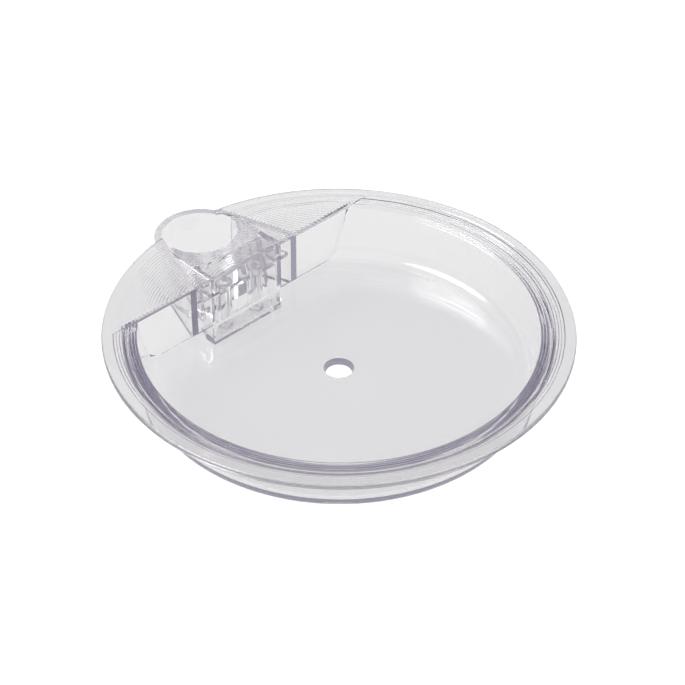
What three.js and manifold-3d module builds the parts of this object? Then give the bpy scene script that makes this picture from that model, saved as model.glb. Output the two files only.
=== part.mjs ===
// Round clear-plastic soap dish for a vertical shower rail.
// Millimetres, +Z up. The rail's axis is the Z axis, z = 0 is the underside of the dish,
// and the basin lies on the -Y side of the rail.
import * as THREE from 'three';
import { mergeVertices } from 'three/addons/utils/BufferGeometryUtils.js';
import Module from 'manifold-3d';

const wasm = await Module();
wasm.setup();

// ---- driving dimensions -------------------------------------------------------------------
const GAP = 0.3;                  // clearance between separate pieces
const OVERCUT = 1;                // how far a cutting tool runs past the face it opens
const OVERLAP = 0.3;              // how far joined bodies run into each other
const CIRCLE_SEGMENTS = 96;       // round dish
const SMALL_SEGMENTS = 40;        // rail socket and holes
const FILLET_STEPS = 4;

const RIM_RADIUS = 75;
const RIM_TOP = 21;               // also the top of the deck and of the clamp
const RIM_THICKNESS = 2;
const RIM_UNDERSIDE = RIM_TOP - RIM_THICKNESS;   // also the underside of the deck
const RIM_CHAMFER = 0.7;

const BAND_OUTER_RADIUS = 71.4;   // fine steps go down from here to the basin's edge
const BASIN_RADIUS = 63.8;
const BAND_STEPS = 8;
const BAND_DROP = 0.96;

const FLOOR_THICKNESS = 2.3;
const WALL_THICKNESS = 2.4;
const WALL_DRAFT = 2.3;           // how much narrower the basin is at its floor
const INNER_FILLET = 4.5;
const OUTER_FILLET = 5.2;
const UNDER_RIM_FILLET = 4;

const DRAIN_TOP_RADIUS = 4.95;
const DRAIN_BOTTOM_RADIUS = 4.3;

const RAIL_BORE_RADIUS = 12.8;    // takes a 25 mm rail
const SOCKET_WALL = 2.4;
const DISH_CENTRE_Y = -68.4;      // from the rail's axis to the dish's
const CHORD_OFFSET = 44.5;        // from the dish's axis to the straight wall
const CHORD_WALL = 2;
const CHORD_FRONT = DISH_CENTRE_Y + CHORD_OFFSET;
const CHORD_BACK = CHORD_FRONT + CHORD_WALL;
const CHANNEL_MOUTH = 20.7;       // half the channel's width where it meets the straight wall

const KEY_HALF_WIDTH = 15;
const KEY_BOTTOM = -7;            // the key reaches this far under the dish
const KEY_WALL = 1.5;
const KEY_CHEEK = 1.6;
const KEY_FRONT = CHORD_FRONT + 0.1;
const KEY_BACK = -16.5;
const KEY_SHELF_TOP = RIM_TOP - 7.2;
const KEY_SHELF_THICKNESS = 1.8;
const KEY_FOOT_BACK = -15.9;
const CHEEK_BACK_AT_BOTTOM = -19.2;
const WEDGE_SLOPE = 0.16;         // how fast the cheeks widen going up
const WINDOW_HALF_WIDTH = KEY_HALF_WIDTH + GAP;

const POST_RADIUS = 2.7;
const POST_BORE_RADIUS = 1.3;
const POST_X = 6.8;
const POST_Y = -19.1;

const JAW_BOTTOM = 0.3;
const JAW_FRONT = -15.5;
const JAW_HALF_ANGLE = THREE.MathUtils.degToRad(83);
const FACING_BASIN = -Math.PI / 2;
const JAW_BEND = -6.6;            // behind here the jaw's sides follow the channel
const JAW_SIDE_GAP = 0.4;
const JAW_SHOULDER_INSIDE = 13.1;
const JAW_SHOULDER_BACK = -12.9;

// ---- from three.js geometry to solids and back -----------------------------------------------
function toSolid(geometry) {
  geometry.deleteAttribute('normal');
  geometry.deleteAttribute('uv');
  const merged = mergeVertices(geometry);
  return new wasm.Manifold(new wasm.Mesh({
    numProp: 3,
    vertProperties: Float32Array.from(merged.attributes.position.array),
    triVerts: withoutFlatTriangles(merged.index.array),
  }));
}

// A lathe squeezes triangles flat where its section meets the axis.
function withoutFlatTriangles(index) {
  const kept = [];
  for (let first = 0; first < index.length; first += 3) {
    const [a, b, c] = index.slice(first, first + 3);
    if (a !== b && b !== c && c !== a) {
      kept.push(a, b, c);
    }
  }
  return Uint32Array.from(kept);
}

function toMesh(name, solid, material) {
  const { vertProperties, triVerts } = solid.getMesh();
  const geometry = new THREE.BufferGeometry();
  geometry.setAttribute('position', new THREE.BufferAttribute(Float32Array.from(vertProperties), 3));
  geometry.setIndex(new THREE.BufferAttribute(Uint32Array.from(triVerts), 1));
  geometry.computeVertexNormals();
  const mesh = new THREE.Mesh(geometry, material);
  mesh.name = name;
  return mesh;
}

// A flat outline in X and Y, as a prism from one height to another.
function prism(shape, bottom, top) {
  const geometry = new THREE.ExtrudeGeometry(shape, {
    depth: top - bottom, bevelEnabled: false, curveSegments: SMALL_SEGMENTS,
  });
  geometry.translate(0, 0, bottom);
  return toSolid(geometry);
}

function box(left, right, front, back, bottom, top) {
  const geometry = new THREE.BoxGeometry(right - left, back - front, top - bottom);
  geometry.translate((left + right) / 2, (front + back) / 2, (bottom + top) / 2);
  return toSolid(geometry);
}

// An outline in Y and Z, as a prism along X.
function sidePlate(points, left, right) {
  const shape = new THREE.Shape(points.map(([y, z]) => new THREE.Vector2(y, z)));
  const geometry = new THREE.ExtrudeGeometry(shape, { depth: right - left, bevelEnabled: false });
  // The extrusion's own X, Y and Z become Y, Z and X.
  geometry.applyMatrix4(new THREE.Matrix4().set(
    0, 0, 1, left,
    1, 0, 0, 0,
    0, 1, 0, 0,
    0, 0, 0, 1,
  ));
  return toSolid(geometry);
}

function disc(radius, centreY, bottom, top, segments, topRadius = radius, centreX = 0) {
  const geometry = new THREE.CylinderGeometry(topRadius, radius, top - bottom, segments);
  geometry.rotateX(Math.PI / 2);
  geometry.translate(centreX, centreY, (bottom + top) / 2);
  return toSolid(geometry);
}

// A round bar or hole where one of the posts stands.
function postDisc(side, radius, bottom, top) {
  return disc(radius, POST_Y, bottom, top, SMALL_SEGMENTS, radius, side * POST_X);
}

// A section of [radius, height] points, turned about the dish's axis.
function lathe(section) {
  const points = section.map(([radius, height]) => new THREE.Vector2(radius, height));
  const geometry = new THREE.LatheGeometry(points, CIRCLE_SEGMENTS);
  geometry.rotateX(Math.PI / 2);
  geometry.translate(0, DISH_CENTRE_Y, 0);
  return toSolid(geometry);
}

// Points on a quarter circle about [centreR, centreZ], between two angles in quarter turns.
function fillet(centreR, centreZ, radius, from, to) {
  const points = [];
  for (let step = 0; step <= FILLET_STEPS; step += 1) {
    const angle = (from + (to - from) * step / FILLET_STEPS) * Math.PI / 2;
    points.push([centreR + radius * Math.cos(angle), centreZ + radius * Math.sin(angle)]);
  }
  return points;
}

const both = (build) => build(-1).add(build(1));
const ordered = (side, near, far) => (side < 0 ? [-far, -near] : [near, far]);

// ---- dish -------------------------------------------------------------------------------------
// Section of the solid that the dish is cut from: foot, drafted wall and rim.
function blankSection() {
  const outerWall = BASIN_RADIUS + WALL_THICKNESS;
  const outerFoot = outerWall - WALL_DRAFT;
  return [
    [0, 0],
    ...fillet(outerFoot - OUTER_FILLET, OUTER_FILLET, OUTER_FILLET, -1, 0),
    ...fillet(outerWall + UNDER_RIM_FILLET, RIM_UNDERSIDE - UNDER_RIM_FILLET, UNDER_RIM_FILLET, 2, 1),
    [RIM_RADIUS - RIM_CHAMFER, RIM_UNDERSIDE],
    [RIM_RADIUS, RIM_UNDERSIDE + RIM_CHAMFER],
    [RIM_RADIUS, RIM_TOP - RIM_CHAMFER],
    [RIM_RADIUS - RIM_CHAMFER, RIM_TOP],
    [0, RIM_TOP],
  ];
}

// Section of the basin: floor, fillet, drafted wall and the fine steps up to the rim.
function basinSection() {
  const foot = BASIN_RADIUS - WALL_DRAFT;
  const run = (BAND_OUTER_RADIUS - BASIN_RADIUS) / BAND_STEPS;
  const rise = BAND_DROP / BAND_STEPS;
  const section = [
    [0, FLOOR_THICKNESS],
    ...fillet(foot - INNER_FILLET, FLOOR_THICKNESS + INNER_FILLET, INNER_FILLET, -1, 0),
    [BASIN_RADIUS, RIM_TOP - BAND_DROP],
  ];
  for (let step = 1; step <= BAND_STEPS; step += 1) {
    const radius = BASIN_RADIUS + step * run;
    const tread = RIM_TOP - BAND_DROP + (step - 1) * rise;
    section.push([radius, tread], [radius, step < BAND_STEPS ? tread + rise : RIM_TOP + OVERCUT]);
  }
  section.push([0, RIM_TOP + OVERCUT]);
  return section;
}

// The drain hole narrows downwards.
function drain() {
  const taper = (DRAIN_TOP_RADIUS - DRAIN_BOTTOM_RADIUS) / FLOOR_THICKNESS;
  return disc(
    DRAIN_BOTTOM_RADIUS - taper * OVERCUT, DISH_CENTRE_Y, -OVERCUT, FLOOR_THICKNESS + OVERCUT,
    SMALL_SEGMENTS, DRAIN_TOP_RADIUS + taper * OVERCUT,
  );
}

// Where a line from the channel's mouth touches a circle round the rail.
function tangentAngle(radius, mouthHalfWidth, mouthY) {
  const distance = Math.hypot(mouthHalfWidth, mouthY);
  return Math.atan2(mouthY, mouthHalfWidth) + Math.acos(radius / distance);
}

// The rail socket's outline: an arc round the rail, and two straight sides that run from it,
// tangent to the arc, towards the straight wall.
function keyhole(radius, mouthHalfWidth, mouthY) {
  const tangent = tangentAngle(radius, mouthHalfWidth, mouthY);
  const shape = new THREE.Shape();
  shape.moveTo(mouthHalfWidth, mouthY);
  shape.lineTo(radius * Math.cos(tangent), radius * Math.sin(tangent));
  shape.absarc(0, 0, radius, tangent, Math.PI - tangent, false);
  shape.lineTo(-mouthHalfWidth, mouthY);
  return shape;
}

// Half the channel's inside width at a given Y.
function channelHalfWidth(y) {
  const tangent = tangentAngle(RAIL_BORE_RADIUS, CHANNEL_MOUTH, CHORD_BACK);
  const tangentX = RAIL_BORE_RADIUS * Math.cos(tangent);
  const tangentY = RAIL_BORE_RADIUS * Math.sin(tangent);
  return tangentX + (CHANNEL_MOUTH - tangentX) * (tangentY - y) / (tangentY - CHORD_BACK);
}

// Everything under the deck behind the straight wall: the deck is a plain plate there.
function underDeck() {
  const side = RIM_RADIUS + OVERCUT;
  return box(-side, side, CHORD_BACK, side, -OVERCUT, RIM_UNDERSIDE);
}

// The rail socket with its wall, before the channel is cut. It runs back from the straight wall
// under the deck and stands out past the rim.
function socketBlank() {
  const spread = channelHalfWidth(-1) - channelHalfWidth(0);
  const outerMouth = CHANNEL_MOUTH + SOCKET_WALL * Math.hypot(1, spread);
  const outline = keyhole(
    RAIL_BORE_RADIUS + SOCKET_WALL, outerMouth + spread * CHORD_WALL / 2, CHORD_BACK - CHORD_WALL / 2,
  );
  return prism(outline, 0, RIM_UNDERSIDE);
}

// The channel for rail and clamp. It narrows where it passes up through the deck, and a window
// of the same width opens it through the straight wall.
function railChannel() {
  const outline = keyhole(RAIL_BORE_RADIUS, CHANNEL_MOUTH, CHORD_BACK);
  const above = RIM_TOP + OVERCUT;
  const deckOverChannel = (side) => {
    const [left, right] = ordered(side, WINDOW_HALF_WIDTH, RIM_RADIUS);
    return box(left, right, -RIM_RADIUS, RIM_RADIUS, RIM_UNDERSIDE, above + OVERCUT);
  };
  const window = box(
    -WINDOW_HALF_WIDTH, WINDOW_HALF_WIDTH, KEY_FRONT - GAP, CHORD_BACK + OVERCUT, -OVERCUT, above,
  );
  return prism(outline, -OVERCUT, above).subtract(both(deckOverChannel)).add(window);
}

function dish() {
  const openBasin = lathe(basinSection()).intersect(
    box(-RIM_RADIUS, RIM_RADIUS, DISH_CENTRE_Y - RIM_RADIUS, CHORD_FRONT, 0, RIM_TOP + OVERCUT),
  );
  return lathe(blankSection())
    .subtract(openBasin)
    .subtract(drain())
    .subtract(underDeck())
    .add(socketBlank())
    .subtract(railChannel());
}

// ---- clamp key: pushed down between the straight wall and the jaw ---------------------------------
const cheekBack = (z) => CHEEK_BACK_AT_BOTTOM + WEDGE_SLOPE * (z - KEY_BOTTOM);

function keyCheek(side) {
  const [left, right] = ordered(side, KEY_HALF_WIDTH - KEY_CHEEK, KEY_HALF_WIDTH);
  return sidePlate([
    [KEY_FRONT, KEY_BOTTOM], [cheekBack(KEY_BOTTOM), KEY_BOTTOM],
    [cheekBack(RIM_TOP), RIM_TOP], [KEY_FRONT, RIM_TOP],
  ], left, right);
}

// The shelf reaches sideways as two ears, which stop under the deck when the key is pushed up.
function keyShelf() {
  const earFront = CHORD_BACK + 2 * GAP;
  const shape = new THREE.Shape();
  shape.moveTo(-KEY_HALF_WIDTH, KEY_FRONT);
  shape.lineTo(KEY_HALF_WIDTH, KEY_FRONT);
  shape.lineTo(KEY_HALF_WIDTH, earFront);
  shape.lineTo(channelHalfWidth(earFront) - 2 * GAP, earFront);
  shape.lineTo(channelHalfWidth(KEY_BACK) - 2 * GAP, KEY_BACK);
  shape.lineTo(2 * GAP - channelHalfWidth(KEY_BACK), KEY_BACK);
  shape.lineTo(2 * GAP - channelHalfWidth(earFront), earFront);
  shape.lineTo(-KEY_HALF_WIDTH, earFront);
  return prism(shape, KEY_SHELF_TOP - KEY_SHELF_THICKNESS, KEY_SHELF_TOP);
}

function postHole(side) {
  const below = KEY_SHELF_TOP - KEY_SHELF_THICKNESS - OVERCUT;
  return postDisc(side, POST_RADIUS + GAP, below, KEY_SHELF_TOP + OVERCUT);
}

function clampKey() {
  const inner = KEY_HALF_WIDTH - KEY_CHEEK / 2;
  return box(-inner, inner, KEY_FRONT, KEY_FRONT + KEY_WALL, KEY_BOTTOM, RIM_TOP)
    .add(both(keyCheek))
    .add(box(-inner, inner, KEY_FRONT, KEY_BACK, RIM_TOP - KEY_CHEEK, RIM_TOP))
    .add(box(-KEY_HALF_WIDTH + KEY_CHEEK, KEY_HALF_WIDTH - KEY_CHEEK,
      KEY_FRONT, KEY_FOOT_BACK, KEY_BOTTOM, KEY_BOTTOM + KEY_CHEEK))
    .add(keyShelf())
    .subtract(both(postHole));
}

function post(side) {
  const bottom = KEY_BOTTOM + KEY_CHEEK + GAP;
  return postDisc(side, POST_RADIUS, bottom, KEY_SHELF_TOP)
    .subtract(postDisc(side, POST_BORE_RADIUS, bottom - OVERCUT, KEY_SHELF_TOP + OVERCUT));
}

// ---- jaw: the key presses it on the rail, and its top is level with the deck ---------------------
// A solid block: flat towards the key, hollowed by the bore towards the rail. Its sides follow
// the deck's opening and then the narrowing channel.
function jawBlock() {
  const [start, end] = [FACING_BASIN - JAW_HALF_ANGLE, FACING_BASIN + JAW_HALF_ANGLE];
  const shoulderFront = cheekBack(RIM_TOP) + GAP;
  const endY = RAIL_BORE_RADIUS * Math.sin(end);
  const sidePoints = [
    [JAW_SHOULDER_INSIDE, JAW_FRONT],
    [JAW_SHOULDER_INSIDE, shoulderFront],
    [KEY_HALF_WIDTH, shoulderFront],
    [KEY_HALF_WIDTH, JAW_BEND],
    [channelHalfWidth(endY) - JAW_SIDE_GAP, endY],
  ];
  const shape = new THREE.Shape();
  shape.moveTo(...sidePoints[0]);
  sidePoints.slice(1).forEach((point) => shape.lineTo(...point));
  shape.absarc(0, 0, RAIL_BORE_RADIUS, end, start, true);
  sidePoints.reverse().forEach(([x, y]) => shape.lineTo(-x, y));
  return prism(shape, JAW_BOTTOM, RIM_TOP);
}

// A lip along the top closes the deck's opening up to the key.
function jawLip() {
  return box(
    -JAW_SHOULDER_INSIDE, JAW_SHOULDER_INSIDE, KEY_BACK + GAP, JAW_FRONT + OVERLAP,
    RIM_UNDERSIDE, RIM_TOP,
  );
}

// A shoulder stands behind each cheek of the key, with the same slope.
function jawShoulder(side) {
  const front = (z) => cheekBack(z) + GAP;
  const [left, right] = ordered(side, JAW_SHOULDER_INSIDE - OVERLAP, KEY_HALF_WIDTH);
  return sidePlate([
    [front(JAW_BOTTOM), JAW_BOTTOM], [JAW_SHOULDER_BACK, JAW_BOTTOM],
    [JAW_SHOULDER_BACK, RIM_UNDERSIDE], [front(RIM_UNDERSIDE), RIM_UNDERSIDE],
  ], left, right);
}

function gripJaw() {
  return jawBlock().add(jawLip()).add(both(jawShoulder));
}

// ---- the assembly -------------------------------------------------------------------------------
const clearPlastic = (color) => new THREE.MeshStandardMaterial({
  color, roughness: 0.05, metalness: 0, transparent: true, opacity: 0.4,
});

const soapDish = new THREE.Group();
soapDish.name = 'rail_soap_dish';
soapDish.add(toMesh('dish', dish(), clearPlastic(0xdedde2)));

const key = new THREE.Group();
key.add(toMesh('clamp_key', clampKey(), clearPlastic(0xd5d3de)));
key.add(toMesh('post_left', post(-1), clearPlastic(0xe2e0e8)));
key.add(toMesh('post_right', post(1), clearPlastic(0xe2e0e8)));
soapDish.add(key);
soapDish.add(toMesh('grip_jaw', gripJaw(), clearPlastic(0xcfccd8)));

export default soapDish;
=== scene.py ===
"""Clear-plastic soap dish for a shower rail: detailed meshes, materials, light and camera."""
import math

import bmesh
import bpy
from mathutils import Matrix, Vector


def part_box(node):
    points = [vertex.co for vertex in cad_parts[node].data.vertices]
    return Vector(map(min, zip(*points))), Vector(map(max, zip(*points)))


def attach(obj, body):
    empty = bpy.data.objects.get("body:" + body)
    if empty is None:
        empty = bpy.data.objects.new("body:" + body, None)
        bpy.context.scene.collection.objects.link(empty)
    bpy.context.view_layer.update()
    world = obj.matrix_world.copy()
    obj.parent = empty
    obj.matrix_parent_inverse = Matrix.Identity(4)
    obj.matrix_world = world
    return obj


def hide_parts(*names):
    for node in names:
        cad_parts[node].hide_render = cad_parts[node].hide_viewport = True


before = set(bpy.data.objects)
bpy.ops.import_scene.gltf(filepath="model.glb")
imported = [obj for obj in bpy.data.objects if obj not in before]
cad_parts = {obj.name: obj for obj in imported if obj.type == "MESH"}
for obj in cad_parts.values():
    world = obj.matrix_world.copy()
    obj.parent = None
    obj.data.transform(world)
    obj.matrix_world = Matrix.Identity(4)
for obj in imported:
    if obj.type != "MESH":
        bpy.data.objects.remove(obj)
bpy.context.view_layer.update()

MM = 0.001

# ---- sizes, in metres -----------------------------------------------------------------------
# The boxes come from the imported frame. What they do not give has the same value as in the CAD.
dish_low, dish_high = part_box("dish")
key_low, key_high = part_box("clamp_key")
post_low, post_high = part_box("post_right")
jaw_low, jaw_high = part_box("grip_jaw")

RIM_RADIUS = (dish_high[0] - dish_low[0]) / 2
DISH_Y = dish_low[1] + RIM_RADIUS
RIM_TOP = dish_high[2]
RIM_UNDERSIDE = RIM_TOP - 2.0 * MM
RIM_ROUNDING = 0.8 * MM
RIM_STEPS = 8                   # facets of a rounding, here and in the other STEPS

BAND_OUTER = 71.4 * MM
BASIN_RADIUS = 63.8 * MM
BAND_STEPS = 8
BAND_DROP = 0.96 * MM
STEP_LEAN = 0.3                 # share of a step that its riser leans over
STEP_NOTCH = 0.25 * MM          # fine groove at the foot of each step
GROOVE_PITCH = 1.0 * MM
GROOVE_WIDTH = 0.5 * MM
GROOVE_DEPTH = 0.10 * MM
GROOVE_OUTER_RADIUS = 71.0 * MM
GROOVE_INNER_RADIUS = 44.0 * MM
WALL = 2.4 * MM
WALL_DRAFT = 2.3 * MM
FLOOR = 2.3 * MM
BASIN_EDGE = 0.5 * MM           # rounding where the basin meets the lowest step
BASIN_EDGE_STEPS = 5
INNER_FILLET = 4.5 * MM
INNER_FILLET_STEPS = 14
FOOT_ROUNDING = 0.4 * MM
FOOT_STEPS = 8
OUTER_FILLET = 5.2 * MM
OUTER_FILLET_STEPS = 12
UNDER_RIM_FILLET = 4.0 * MM
UNDER_RIM_STEPS = 6
DRAIN_TOP = 4.95 * MM
DRAIN_BOTTOM = 4.3 * MM

BORE_RADIUS = 12.8 * MM
BORE_STEPS = 96
SOCKET_WALL = 2.4 * MM
CHORD_FRONT = DISH_Y + 44.5 * MM
CHORD_BACK = CHORD_FRONT + 2.0 * MM
CHANNEL_MOUTH = 20.7 * MM

KEY_HALF = 15.0 * MM
KEY_FRONT = key_low[1]
KEY_WALL = 1.5 * MM
KEY_CHEEK = 1.6 * MM
KEY_SHELF_BACK = -16.5 * MM
KEY_FOOT_BACK = key_high[1]
CHEEK_BACK = -19.2 * MM
WEDGE_SLOPE = 0.16
SHELF_TOP = post_high[2]
SHELF_THICKNESS = 1.8 * MM
EAR_GAP = 0.6 * MM              # between the shelf's ears and the channel
GAP = 0.3 * MM
WINDOW_HALF = KEY_HALF + GAP
WINDOW_FRONT = KEY_FRONT - GAP

POST_RADIUS = (post_high[0] - post_low[0]) / 2
POST_BORE = 1.3 * MM
POST_X = (post_high[0] + post_low[0]) / 2
POST_Y = (post_high[1] + post_low[1]) / 2
POST_LIP = 0.4 * MM
POST_LIP_STEPS = 5
POST_SEGMENTS = 64
POST_HOLE_SEGMENTS = 48

JAW_FRONT = -15.5 * MM
JAW_HALF_ANGLE = 83.0
FACING_BASIN = -90.0
JAW_BEND = -6.6 * MM
JAW_SIDE_GAP = 0.4 * MM
SHOULDER_INSIDE = 13.1 * MM
SHOULDER_BACK = -12.9 * MM

OVERCUT = 1.0 * MM
OVERLAP = 0.3 * MM
ROUND_SEGMENTS = 192
EDGE_RADIUS = 0.25 * MM
EDGE_SEGMENTS = 2
EDGE_ANGLE = math.radians(40)   # edges sharper than this are rounded
SHARP_ANGLE = math.radians(28)  # edges sharper than this are not shaded smooth
WELD_DISTANCE = 0.002 * MM


# ---- mesh tools --------------------------------------------------------------------------------
def new_object(name, bm):
    """Turn a bmesh into an object of the scene."""
    bmesh.ops.recalc_face_normals(bm, faces=bm.faces)
    mesh = bpy.data.meshes.new(name)
    bm.to_mesh(mesh)
    bm.free()
    obj = bpy.data.objects.new(name, mesh)
    bpy.context.scene.collection.objects.link(obj)
    return obj


def arc(centre_u, centre_v, radius, start, end, steps):
    """Points on an arc; the angles are in degrees."""
    points = []
    for step in range(steps + 1):
        angle = math.radians(start + (end - start) * step / steps)
        points.append((centre_u + radius * math.cos(angle), centre_v + radius * math.sin(angle)))
    return points


def lathe(name, section, centre_x=0.0, centre_y=0.0, segments=ROUND_SEGMENTS):
    """Turn a closed section of (radius, height) points about a vertical axis."""
    bm = bmesh.new()
    rings = []
    for radius, z in section:
        if radius == 0:
            rings.append([bm.verts.new((centre_x, centre_y, z))] * segments)
            continue
        ring = []
        for index in range(segments):
            angle = 2 * math.pi * (index + 0.5) / segments
            x = centre_x + radius * math.cos(angle)
            ring.append(bm.verts.new((x, centre_y + radius * math.sin(angle), z)))
        rings.append(ring)
    for here, there in zip(rings, rings[1:] + rings[:1]):
        for index in range(segments):
            after = (index + 1) % segments
            corners = dict.fromkeys((here[index], here[after], there[after], there[index]))
            if len(corners) > 2:
                bm.faces.new(list(corners))
    return new_object(name, bm)


def prism(name, outline, bottom, top):
    """Raise a closed outline of (x, y) points from one height to another."""
    bm = bmesh.new()
    low = [bm.verts.new((x, y, bottom)) for x, y in outline]
    high = [bm.verts.new((x, y, top)) for x, y in outline]
    bm.faces.new(low)
    bm.faces.new(high)
    for index in range(len(outline)):
        after = (index + 1) % len(outline)
        bm.faces.new((low[index], low[after], high[after], high[index]))
    return new_object(name, bm)


def block(name, left, right, front, back, bottom, top):
    """A tool or wall between two corners."""
    outline = [(left, front), (right, front), (right, back), (left, back)]
    return prism(name, outline, bottom, top)


def side_plate(name, outline, left, right):
    """Stretch a closed outline of (y, z) points along X."""
    bm = bmesh.new()
    near = [bm.verts.new((left, y, z)) for y, z in outline]
    far = [bm.verts.new((right, y, z)) for y, z in outline]
    bm.faces.new(near)
    bm.faces.new(far)
    for index in range(len(outline)):
        after = (index + 1) % len(outline)
        bm.faces.new((near[index], near[after], far[after], far[index]))
    return new_object(name, bm)


def disc(name, centre_y, bottom_radius, top_radius, bottom, top):
    """A round tool whose radius may change with height."""
    section = [(0, bottom), (bottom_radius, bottom), (top_radius, top), (0, top)]
    return lathe(name, section, 0, centre_y)


def combine(target, tool, operation):
    """Apply a boolean to the target and drop the tool."""
    modifier = target.modifiers.new("combine", "BOOLEAN")
    modifier.operation = operation
    modifier.solver = "EXACT"
    modifier.object = tool
    evaluated = target.evaluated_get(bpy.context.evaluated_depsgraph_get())
    mesh = bpy.data.meshes.new_from_object(evaluated)
    target.modifiers.clear()
    old = target.data
    target.data = mesh
    bpy.data.meshes.remove(old)
    bpy.data.objects.remove(tool)
    return target


def both_sides(near, far):
    """The same span left and right of the middle."""
    return (-far, -near), (near, far)


def join(target, *tools):
    """Add every tool to the target."""
    for tool in tools:
        combine(target, tool, "UNION")
    return target


def cut(target, *tools):
    """Take every tool out of the target."""
    for tool in tools:
        combine(target, tool, "DIFFERENCE")
    return target


def overlap(target, tool):
    """Keep what the target shares with the tool."""
    return combine(target, tool, "INTERSECT")


def smooth_with_sharp_edges(obj):
    """Smooth shading that keeps every edge sharper than SHARP_ANGLE crisp."""
    bm = bmesh.new()
    bm.from_mesh(obj.data)
    bmesh.ops.remove_doubles(bm, verts=bm.verts, dist=WELD_DISTANCE)
    bmesh.ops.dissolve_degenerate(bm, edges=bm.edges, dist=WELD_DISTANCE)
    for face in bm.faces:
        face.smooth = True
    for edge in bm.edges:
        edge.smooth = edge.is_manifold and edge.calc_face_angle(0) < SHARP_ANGLE
    bm.to_mesh(obj.data)
    bm.free()


def round_edges(obj):
    """Round the moulded edges."""
    bevel = obj.modifiers.new("rounded edges", "BEVEL")
    bevel.width = EDGE_RADIUS
    bevel.segments = EDGE_SEGMENTS
    bevel.limit_method = "ANGLE"
    bevel.angle_limit = EDGE_ANGLE
    bevel.use_clamp_overlap = True
    bevel.harden_normals = True


# ---- dish ---------------------------------------------------------------------------------------
def blank_section():
    """Section of the solid that the dish is cut from: foot, drafted wall and rim."""
    outer_wall = BASIN_RADIUS + WALL
    outer_foot = outer_wall - WALL_DRAFT
    points = [(0, 0)]
    points += arc(outer_foot - OUTER_FILLET, OUTER_FILLET, OUTER_FILLET, -90, 0, OUTER_FILLET_STEPS)
    points += arc(outer_wall + UNDER_RIM_FILLET, RIM_UNDERSIDE - UNDER_RIM_FILLET,
                  UNDER_RIM_FILLET, 180, 90, UNDER_RIM_STEPS)
    points += arc(RIM_RADIUS - RIM_ROUNDING, RIM_UNDERSIDE + RIM_ROUNDING,
                  RIM_ROUNDING, -90, 0, RIM_STEPS)
    points += arc(RIM_RADIUS - RIM_ROUNDING, RIM_TOP - RIM_ROUNDING, RIM_ROUNDING, 0, 90, RIM_STEPS)
    points += grooved_top(GROOVE_OUTER_RADIUS)
    return points


def grooved_top(radius):
    """The level top with its fine ring grooves, from a radius inwards to the axis."""
    points = []
    while radius > GROOVE_INNER_RADIUS:
        points.append((radius, RIM_TOP))
        points.append((radius - GROOVE_WIDTH / 2, RIM_TOP - GROOVE_DEPTH))
        points.append((radius - GROOVE_WIDTH, RIM_TOP))
        radius -= GROOVE_PITCH
    points.append((0, RIM_TOP))
    return points


def groove_top(obj):
    """Carry the deck's ring grooves over a clamp part whose blank stands a little too high."""
    section = [(0, -RIM_TOP), (GROOVE_OUTER_RADIUS, -RIM_TOP)] + grooved_top(GROOVE_OUTER_RADIUS)
    return overlap(obj, lathe("grooved top", section, 0, DISH_Y))


def basin_section():
    """Section of the basin: floor, fillet, drafted wall and the fine steps up to the rim."""
    foot = BASIN_RADIUS - WALL_DRAFT
    points = [(0, FLOOR)]
    points += arc(foot - INNER_FILLET, FLOOR + INNER_FILLET, INNER_FILLET, -90, 0, INNER_FILLET_STEPS)
    points += arc(BASIN_RADIUS + BASIN_EDGE, RIM_TOP - BAND_DROP - BASIN_EDGE,
                  BASIN_EDGE, 180, 90, BASIN_EDGE_STEPS)
    run = (BAND_OUTER - BASIN_RADIUS) / BAND_STEPS
    rise = BAND_DROP / BAND_STEPS
    for step in range(1, BAND_STEPS + 1):
        radius = BASIN_RADIUS + step * run
        tread = RIM_TOP - BAND_DROP + (step - 1) * rise
        points.append((radius - STEP_LEAN * run, tread))
        points.append((radius - STEP_LEAN * run / 2, tread - STEP_NOTCH))
        points.append((radius, tread + rise))
    points.append((BAND_OUTER, RIM_TOP + OVERCUT))
    points.append((0, RIM_TOP + OVERCUT))
    return points


def tangent_angle(radius, mouth, mouth_y):
    """Where a line from the channel's mouth touches a circle round the rail."""
    distance = math.hypot(mouth, mouth_y)
    return math.atan2(mouth_y, mouth) + math.acos(radius / distance)


def keyhole(radius, mouth, mouth_y):
    """Outline of the rail socket: an arc and two straight sides tangent to it."""
    start = math.degrees(tangent_angle(radius, mouth, mouth_y))
    points = [(mouth, mouth_y)]
    points += arc(0, 0, radius, start, 180 - start, BORE_STEPS)
    points.append((-mouth, mouth_y))
    return points


def channel_half_width(y):
    """Half the channel's inside width at a given Y."""
    angle = tangent_angle(BORE_RADIUS, CHANNEL_MOUTH, CHORD_BACK)
    touch_x = BORE_RADIUS * math.cos(angle)
    touch_y = BORE_RADIUS * math.sin(angle)
    return touch_x + (CHANNEL_MOUTH - touch_x) * (touch_y - y) / (touch_y - CHORD_BACK)


def make_basin():
    """The D-shaped basin as a cutting tool, rounded along the foot of the straight wall."""
    basin = lathe("basin", basin_section(), 0, DISH_Y)
    front, above = DISH_Y - RIM_RADIUS, RIM_TOP + 2 * OVERCUT
    outline = [(front, 0), (CHORD_FRONT - FOOT_ROUNDING, 0)]
    outline += arc(CHORD_FRONT - FOOT_ROUNDING, FLOOR + FOOT_ROUNDING, FOOT_ROUNDING,
                   -90, 0, FOOT_STEPS)
    outline += [(CHORD_FRONT, above), (front, above)]
    return overlap(basin, side_plate("open part", outline, -RIM_RADIUS, RIM_RADIUS))


def under_deck():
    """Everything under the deck behind the straight wall."""
    side = RIM_RADIUS + OVERCUT
    return block("under deck", -side, side, CHORD_BACK, side, -OVERCUT, RIM_UNDERSIDE)


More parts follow.
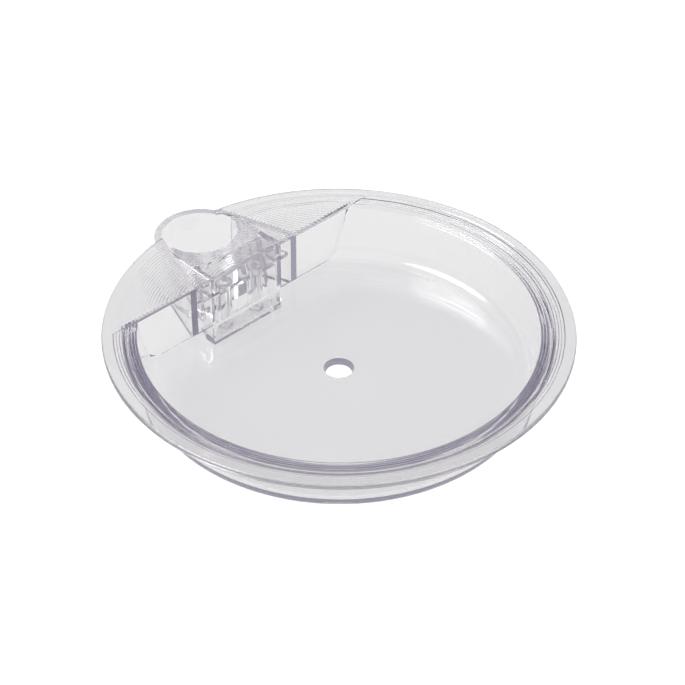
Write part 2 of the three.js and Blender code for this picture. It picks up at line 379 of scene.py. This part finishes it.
def make_socket():
    """The rail socket with its wall, before the channel is cut."""
    spread = (channel_half_width(-MM) - channel_half_width(0)) / MM
    half_wall = (CHORD_BACK - CHORD_FRONT) / 2
    mouth = CHANNEL_MOUTH + SOCKET_WALL * math.hypot(1, spread) + spread * half_wall
    outline = keyhole(BORE_RADIUS + SOCKET_WALL, mouth, CHORD_BACK - half_wall)
    return prism("socket", outline, 0, RIM_UNDERSIDE)


def make_channel():
    """The channel for rail and clamp, narrower through the deck and the straight wall."""
    above = RIM_TOP + OVERCUT
    channel = prism("channel", keyhole(BORE_RADIUS, CHANNEL_MOUTH, CHORD_BACK), -OVERCUT, above)
    for left, right in both_sides(WINDOW_HALF, RIM_RADIUS):
        cut(channel, block("deck over channel", left, right, -RIM_RADIUS, RIM_RADIUS,
                           RIM_UNDERSIDE, above + OVERCUT))
    return join(channel, block("window", -WINDOW_HALF, WINDOW_HALF, WINDOW_FRONT,
                               CHORD_BACK + OVERCUT, -OVERCUT, above))


def make_drain():
    """The drain hole, which narrows downwards."""
    taper = (DRAIN_TOP - DRAIN_BOTTOM) / FLOOR * OVERCUT
    return disc("drain", DISH_Y, DRAIN_BOTTOM - taper, DRAIN_TOP + taper, -OVERCUT, FLOOR + OVERCUT)


def make_dish():
    """The dish: a turned blank with basin, socket and channel cut and joined in that order."""
    dish = lathe("dish_clear", blank_section(), 0, DISH_Y)
    cut(dish, make_basin(), make_drain(), under_deck())
    join(dish, make_socket())
    cut(dish, make_channel())
    smooth_with_sharp_edges(dish)
    round_edges(dish)
    return dish


# ---- clamp key, posts and jaw ----------------------------------------------------------------------
def cheek_back(z):
    """How far back the key's wedge cheeks reach at a given height."""
    return CHEEK_BACK + WEDGE_SLOPE * (z - key_low[2])


def shelf_outline():
    """The key's shelf, with ears that reach into the channel behind the straight wall."""
    ear_front = CHORD_BACK + EAR_GAP
    right = [(KEY_HALF, KEY_FRONT), (KEY_HALF, ear_front),
             (channel_half_width(ear_front) - EAR_GAP, ear_front),
             (channel_half_width(KEY_SHELF_BACK) - EAR_GAP, KEY_SHELF_BACK)]
    return right + [(-x, y) for x, y in reversed(right)]


def cut_post_holes(key):
    """Open the shelf for the two posts."""
    last_angle = 360 - 360 / POST_HOLE_SEGMENTS
    hole = arc(0, POST_Y, POST_RADIUS + GAP, 0, last_angle, POST_HOLE_SEGMENTS - 1)
    for side in (-1, 1):
        outline = [(side * POST_X + x, y) for x, y in hole]
        cut(key, prism("post hole", outline, SHELF_TOP - 2 * SHELF_THICKNESS, SHELF_TOP + 2 * OVERCUT))


def make_key():
    """The clamp key: front plate, wedge cheeks, top, foot and shelf."""
    inner = KEY_HALF - KEY_CHEEK / 2
    low, high = key_low[2], key_high[2] + OVERLAP
    key = block("clamp_key_clear", -inner, inner, KEY_FRONT, KEY_FRONT + KEY_WALL, low, high)
    for left, right in both_sides(KEY_HALF - KEY_CHEEK, KEY_HALF):
        join(key, side_plate("cheek", [
            (KEY_FRONT, low), (cheek_back(low), low), (cheek_back(high), high), (KEY_FRONT, high),
        ], left, right))
    join(key,
         block("top", -inner, inner, KEY_FRONT, KEY_SHELF_BACK,
               key_high[2] - KEY_CHEEK, high),
         block("foot", KEY_CHEEK - KEY_HALF, KEY_HALF - KEY_CHEEK, KEY_FRONT, KEY_FOOT_BACK,
               low, low + KEY_CHEEK),
         prism("shelf", shelf_outline(), SHELF_TOP - SHELF_THICKNESS, SHELF_TOP))
    cut_post_holes(key)
    groove_top(key)
    smooth_with_sharp_edges(key)
    round_edges(key)
    return key


def make_post(side, name):
    """A hollow round post with rounded ends."""
    low, high = post_low[2], post_high[2]
    section = [(POST_BORE, high - POST_LIP / 2), (POST_BORE, low + POST_LIP / 2)]
    section += arc(POST_RADIUS - POST_LIP, low + POST_LIP, POST_LIP, -90, 0, POST_LIP_STEPS)
    section += arc(POST_RADIUS - POST_LIP, high - POST_LIP, POST_LIP, 0, 90, POST_LIP_STEPS)
    post = lathe(name, section, side * POST_X, POST_Y, POST_SEGMENTS)
    smooth_with_sharp_edges(post)
    return post


def jaw_outline():
    """Flat towards the key, hollowed by the bore; the sides follow the opening and the channel."""
    start, end = FACING_BASIN - JAW_HALF_ANGLE, FACING_BASIN + JAW_HALF_ANGLE
    shoulder_front = cheek_back(RIM_TOP) + GAP
    end_y = BORE_RADIUS * math.sin(math.radians(end))
    side = [(SHOULDER_INSIDE, JAW_FRONT), (SHOULDER_INSIDE, shoulder_front),
            (KEY_HALF, shoulder_front), (KEY_HALF, JAW_BEND),
            (channel_half_width(end_y) - JAW_SIDE_GAP, end_y)]
    mirrored = [(-x, y) for x, y in reversed(side)]
    return side + arc(0, 0, BORE_RADIUS, end, start, BORE_STEPS) + mirrored


def make_jaw():
    """The jaw: a solid block in front of the bore, a lip at deck level and two wedge shoulders."""
    low = jaw_low[2]
    jaw = prism("grip_jaw_clear", jaw_outline(), low, RIM_TOP + OVERLAP)
    join(jaw, block("lip", -SHOULDER_INSIDE, SHOULDER_INSIDE, KEY_SHELF_BACK + GAP,
                    JAW_FRONT + OVERLAP, RIM_UNDERSIDE, RIM_TOP + OVERLAP))
    for left, right in both_sides(SHOULDER_INSIDE - OVERLAP, KEY_HALF):
        join(jaw, side_plate("shoulder", [
            (cheek_back(low) + GAP, low), (SHOULDER_BACK, low),
            (SHOULDER_BACK, RIM_UNDERSIDE), (cheek_back(RIM_UNDERSIDE) + GAP, RIM_UNDERSIDE),
        ], left, right))
    groove_top(jaw)
    smooth_with_sharp_edges(jaw)
    round_edges(jaw)
    return jaw


# ---- node tools -------------------------------------------------------------------------------------
def map_range(tree, value, start, end, target_end=1.0, smooth=False):
    """A node that turns start..end into 0..target_end."""
    node = tree.nodes.new("ShaderNodeMapRange")
    if smooth:
        node.interpolation_type = "SMOOTHSTEP"
    node.inputs["From Min"].default_value = start
    node.inputs["From Max"].default_value = end
    node.inputs["To Max"].default_value = target_end
    tree.links.new(value, node.inputs["Value"])
    return node.outputs["Result"]


def blend(tree, factor, first, second):
    """Mix two colours, each a plain one or another node's."""
    node = tree.nodes.new("ShaderNodeMix")
    node.data_type = "RGBA"
    tree.links.new(factor, node.inputs["Factor"])
    for socket, value in (("A", first), ("B", second)):
        if isinstance(value, tuple):
            node.inputs[socket].default_value = (*value, 1)
        else:
            tree.links.new(value, node.inputs[socket])
    return node.outputs["Result"]


def noise(tree, scale, detail):
    """Noise in the piece's own coordinates."""
    coords = tree.nodes.new("ShaderNodeTexCoord")
    node = tree.nodes.new("ShaderNodeTexNoise")
    node.inputs["Scale"].default_value = scale
    node.inputs["Detail"].default_value = detail
    tree.links.new(coords.outputs["Object"], node.inputs["Vector"])
    return node.outputs["Fac"]


def mix_shaders(tree, factor, first, second):
    """Mix two shaders."""
    node = tree.nodes.new("ShaderNodeMixShader")
    tree.links.new(factor, node.inputs["Fac"])
    tree.links.new(first, node.inputs[1])
    tree.links.new(second, node.inputs[2])
    return node.outputs["Shader"]


# ---- materials --------------------------------------------------------------------------------------
PLASTIC_WHITE = (0.96, 0.96, 0.96)
PLASTIC_IOR = 1.5
PLASTIC_TINT = (0.42, 0.39, 0.51)
TINT_DENSITY = 9
SHADOW_WHITE = (0.98, 0.98, 0.98)   # how much light a surface lets through to the floor
WEAR_SCALE = 260
WEAR_DETAIL = 6
WEAR_RANGE = (0.35, 0.75)
WEAR_ROUGHNESS = 0.03
FLOW_SCALE = 55
FLOW_DETAIL = 2
FLOW_STRENGTH = 0.03
FLOW_HEIGHT = 0.1 * MM

# Painted light: after many bounces inside the plastic, the glass gives way to one even, glowing
# grey-violet emission. It stands in for the light trapped in the plastic. The ranges are the number of
# bounces where that starts and where it is complete.
PAINTED_GLOW_COLOUR = (0.38, 0.36, 0.43)
DISH_PAINTED_GLOW_BOUNCES = (5.0, 10.0)
CLAMP_PAINTED_GLOW_BOUNCES = (9.0, 16.0)


def glass_shader(tree):
    """Clear glossy plastic with faint wear and flow marks."""
    glass = tree.nodes.new("ShaderNodeBsdfPrincipled")
    glass.inputs["Base Color"].default_value = (*PLASTIC_WHITE, 1)
    glass.inputs["IOR"].default_value = PLASTIC_IOR
    glass.inputs["Transmission Weight"].default_value = 1.0
    wear = noise(tree, WEAR_SCALE, WEAR_DETAIL)
    tree.links.new(map_range(tree, wear, *WEAR_RANGE, WEAR_ROUGHNESS), glass.inputs["Roughness"])
    bump = tree.nodes.new("ShaderNodeBump")
    bump.inputs["Strength"].default_value = FLOW_STRENGTH
    bump.inputs["Distance"].default_value = FLOW_HEIGHT
    tree.links.new(noise(tree, FLOW_SCALE, FLOW_DETAIL), bump.inputs["Height"])
    tree.links.new(bump.outputs["Normal"], glass.inputs["Normal"])
    return glass.outputs["BSDF"]


def painted_glow_for_trapped_light(tree, path, glass, bounces):
    """Painted light: after many bounces, mix the glass into one even glowing colour that stands in for
    light trapped inside the plastic.
    """
    # painted glow: an emission in place of the light trapped in the plastic
    glow = tree.nodes.new("ShaderNodeEmission")
    glow.inputs["Color"].default_value = (*PAINTED_GLOW_COLOUR, 1)
    painted_glow_share = map_range(tree, path.outputs["Ray Depth"], *bounces)
    return mix_shaders(tree, painted_glow_share, glass, glow.outputs["Emission"])


def clear_for_light(tree, path, shader):
    """Let the light that falls on the floor pass straight through."""
    clear = tree.nodes.new("ShaderNodeBsdfTransparent")
    clear.inputs["Color"].default_value = (*SHADOW_WHITE, 1)
    unseen = tree.nodes.new("ShaderNodeMath")
    unseen.operation = "MAXIMUM"
    tree.links.new(path.outputs["Is Shadow Ray"], unseen.inputs[0])
    tree.links.new(path.outputs["Is Diffuse Ray"], unseen.inputs[1])
    return mix_shaders(tree, unseen.outputs["Value"], shader, clear.outputs["BSDF"])


def clear_plastic(name, bounces):
    """Moulded clear plastic: refraction, a tint that deepens with thickness, faint flow marks, and a
    painted glow after many inner bounces.
    """
    material = bpy.data.materials.new(name)
    material.use_nodes = True
    material.cycles.emission_sampling = "NONE"
    tree = material.node_tree
    tree.nodes.clear()
    path = tree.nodes.new("ShaderNodeLightPath")
    surface = clear_for_light(tree, path, painted_glow_for_trapped_light(tree, path, glass_shader(tree), bounces))
    volume = tree.nodes.new("ShaderNodeVolumeAbsorption")
    volume.inputs["Color"].default_value = (*PLASTIC_TINT, 1)
    volume.inputs["Density"].default_value = TINT_DENSITY
    out = tree.nodes.new("ShaderNodeOutputMaterial")
    tree.links.new(surface, out.inputs["Surface"])
    tree.links.new(volume.outputs["Volume"], out.inputs["Volume"])
    return material


def dress(obj, material, body, node):
    """Give a piece its material and its body, and hide the CAD node it stands for."""
    obj.data.materials.clear()
    obj.data.materials.append(material)
    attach(obj, body)
    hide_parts(node)


# ---- studio -----------------------------------------------------------------------------------------
FLOOR_HALF = 3.0
FLOOR_GAP = 0.5 * MM                # the floor lies this far under the key's foot
FLOOR_WHITE = (0.98, 0.98, 0.98)
# painted shade: the floor's grey for every ray but camera rays, as where it is seen through the plastic
FLOOR_PAINTED_SHADE_GREY = (0.70, 0.695, 0.695)
FLOOR_ROUGHNESS = 0.9
FLOOR_GLOSS = 0.1

# The edges of the softbox and of the backdrop's sides are cosines of angles from their directions;
# those of the horizon and of the backdrop are heights on the dome.
DOME_WHITE = (1.0, 1.0, 1.0)
SEEN_WHITE = (1.3, 1.3, 1.3)        # what the camera sees past the floor
STUDIO_STRENGTH = 0.95
HORIZON_GREY = (0.60, 0.58, 0.63)
HORIZON_EDGE = (0.10, 0.42)
BACKDROP_DIRECTION = (0.50, 0.87, 0.0)
BACKDROP_DARK = (0.16, 0.15, 0.19)
BACKDROP_EDGE = (0.62, 0.80)
BACKDROP_SIDES = (0.15, 0.50)
SOFTBOX_DIRECTION = (-0.50, 0.40, 0.77)
SOFTBOX_EDGE = (0.93, 0.97)
SOFTBOX_WHITE = (8.0, 8.0, 8.0)


def floor_material():
    """Matt white to the camera, and painted greyer, as shade, for every other ray, which is where it is
    seen through the plastic.
    """
    material = bpy.data.materials.new("pale floor")
    material.use_nodes = True
    tree = material.node_tree
    shader = tree.nodes["Principled BSDF"]
    shader.inputs["Roughness"].default_value = FLOOR_ROUGHNESS
    shader.inputs["Specular IOR Level"].default_value = FLOOR_GLOSS
    path = tree.nodes.new("ShaderNodeLightPath")
    # painted shade: the floor is grey for every ray but a camera ray
    floor_white_or_painted_shade = blend(tree, path.outputs["Is Camera Ray"], FLOOR_PAINTED_SHADE_GREY, FLOOR_WHITE)
    tree.links.new(floor_white_or_painted_shade, shader.inputs["Base Color"])
    return material


def make_floor():
    """A plain floor just under the lowest point."""
    bm = bmesh.new()
    height = min(key_low[2], dish_low[2]) - FLOOR_GAP
    corners = [(-FLOOR_HALF, -FLOOR_HALF), (FLOOR_HALF, -FLOOR_HALF),
               (FLOOR_HALF, FLOOR_HALF), (-FLOOR_HALF, FLOOR_HALF)]
    bm.faces.new([bm.verts.new((x, y, height)) for x, y in corners])
    floor = new_object("floor", bm)
    floor.data.materials.append(floor_material())


def towards(tree, coords, direction):
    """The cosine of the angle between a ray and a direction."""
    node = tree.nodes.new("ShaderNodeVectorMath")
    node.operation = "DOT_PRODUCT"
    node.inputs[1].default_value = Vector(direction).normalized()
    tree.links.new(coords.outputs["Generated"], node.inputs[0])
    return node.outputs["Value"]


def dome_colour(tree):
    """A white dome over a grey horizon, with a dark backdrop behind the dish and a softbox."""
    coords = tree.nodes.new("ShaderNodeTexCoord")
    split = tree.nodes.new("ShaderNodeSeparateXYZ")
    tree.links.new(coords.outputs["Generated"], split.inputs["Vector"])
    height = split.outputs["Z"]

    def fade(value, edge):
        return map_range(tree, value, *edge, smooth=True)

    dome = blend(tree, fade(height, HORIZON_EDGE), HORIZON_GREY, DOME_WHITE)
    backdrop = blend(tree, fade(height, BACKDROP_EDGE), BACKDROP_DARK, DOME_WHITE)
    sides = fade(towards(tree, coords, BACKDROP_DIRECTION), BACKDROP_SIDES)
    dome = blend(tree, sides, dome, backdrop)
    softbox = fade(towards(tree, coords, SOFTBOX_DIRECTION), SOFTBOX_EDGE)
    return blend(tree, softbox, dome, SOFTBOX_WHITE)


def make_light():
    """The dome lights the object; the camera itself sees plain white."""
    world = bpy.data.worlds.new("studio")
    bpy.context.scene.world = world
    world.use_nodes = True
    tree = world.node_tree
    path = tree.nodes.new("ShaderNodeLightPath")
    colour = blend(tree, path.outputs["Is Camera Ray"], dome_colour(tree), SEEN_WHITE)
    background = tree.nodes["Background"]
    background.inputs["Strength"].default_value = STUDIO_STRENGTH
    tree.links.new(colour, background.inputs["Color"])


# The camera's place is given about the middle of the rim: how far it stands off, how it is turned
# and raised, and how far the picture's centre lies from the rim's.
CAMERA_DISTANCE = 0.600
CAMERA_AZIMUTH = math.radians(44.0)
CAMERA_ELEVATION = math.radians(39.2)
CAMERA_ROLL = math.radians(-0.5)
CAMERA_SHIFT_RIGHT = 1.1 * MM
CAMERA_SHIFT_UP = -6.35 * MM
CAMERA_LENS = 99.6                  # in millimetres, as is the sensor
CAMERA_SENSOR = 36
CAMERA_NEAR = 0.01


def camera_matrix():
    """The camera's axes and place."""
    side = Vector((math.cos(CAMERA_AZIMUTH), -math.sin(CAMERA_AZIMUTH), 0))
    away = Vector((math.sin(CAMERA_AZIMUTH), math.cos(CAMERA_AZIMUTH), 0))
    back = Vector((0, 0, math.sin(CAMERA_ELEVATION))) - away * math.cos(CAMERA_ELEVATION)
    up = back.cross(side)
    place = Vector((0, DISH_Y, RIM_TOP)) + back * CAMERA_DISTANCE
    place += side * CAMERA_SHIFT_RIGHT + up * CAMERA_SHIFT_UP
    cos, sin = math.cos(CAMERA_ROLL), math.sin(CAMERA_ROLL)
    axes = Matrix((side * cos - up * sin, side * sin + up * cos, back)).transposed()
    return Matrix.Translation(place) @ axes.to_4x4()


def make_camera():
    """The camera at the photograph's angle."""
    data = bpy.data.cameras.new("camera")
    data.sensor_width = CAMERA_SENSOR
    data.lens = CAMERA_LENS
    data.clip_start = CAMERA_NEAR
    camera = bpy.data.objects.new("camera", data)
    camera.matrix_world = camera_matrix()
    bpy.context.scene.collection.objects.link(camera)
    bpy.context.scene.camera = camera


BOUNCES = 32


def set_look():
    """Plain colours, and enough bounces for light inside the plastic."""
    scene = bpy.context.scene
    scene.view_settings.view_transform = "Standard"
    scene.cycles.max_bounces = BOUNCES
    scene.cycles.transmission_bounces = BOUNCES
    scene.cycles.glossy_bounces = BOUNCES
    scene.cycles.transparent_max_bounces = BOUNCES


# ---- the object ----------------------------------------------------------------------------------------
dish_plastic = clear_plastic("clear dish plastic", DISH_PAINTED_GLOW_BOUNCES)
clamp_plastic = clear_plastic("clear clamp plastic", CLAMP_PAINTED_GLOW_BOUNCES)
dress(make_dish(), dish_plastic, "dish_body", "dish")
dress(make_key(), clamp_plastic, "key_body", "clamp_key")
dress(make_post(-1, "post_left_clear"), clamp_plastic, "key_body", "post_left")
dress(make_post(1, "post_right_clear"), clamp_plastic, "key_body", "post_right")
dress(make_jaw(), clamp_plastic, "jaw_body", "grip_jaw")

make_floor()
make_light()
make_camera()
set_look()
